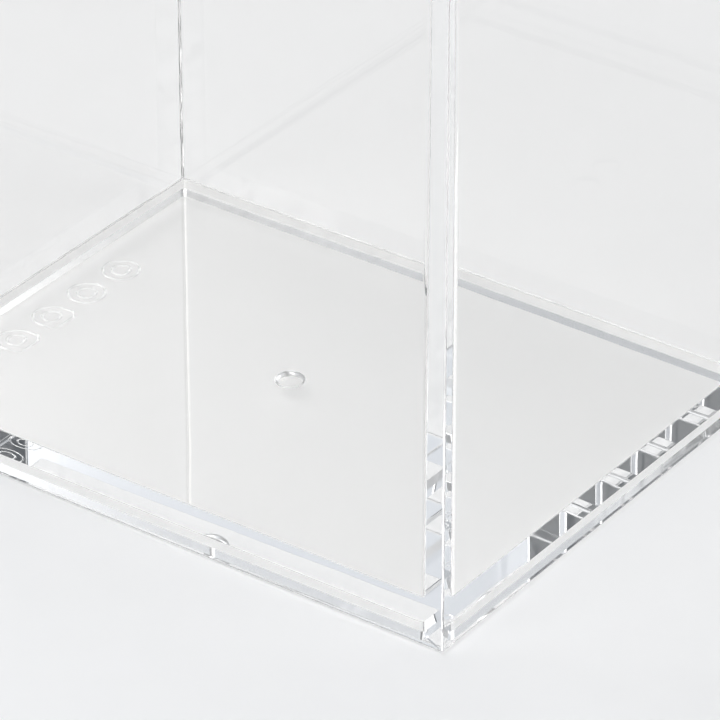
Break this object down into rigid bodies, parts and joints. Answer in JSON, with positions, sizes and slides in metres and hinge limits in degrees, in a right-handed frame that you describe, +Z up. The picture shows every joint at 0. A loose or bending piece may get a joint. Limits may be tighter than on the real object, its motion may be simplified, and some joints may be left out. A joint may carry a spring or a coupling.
{
  "type": "clear display case with lid",
  "caption": "Clear thick-walled moulded display case with rounded inside corners, a foot rim round a recessed underside, and a lift-off lid with a locating lip.",
  "frame": {"origin": "middle of the footprint, on the surface that the case stands on", "axes": "+X along the case's long side, +Y along its short side, +Z up"},
  "size_m": [0.08, 0.062, 0.0893],
  "materials": {
    "clear_case": "water-clear acrylic, polished mould faces",
    "clear_lid": "water-clear acrylic, polished mould faces"
  },
  "bodies": {
    "case": {"case_body": "clear_case"},
    "lid": {"lid": "clear_lid"}
  },
  "joints": [
    {"name": "lid_lift", "type": "slide", "parent": "case", "child": "lid", "axis": [0, 0, 1], "range_m": [0, 0.03]}
  ]
}
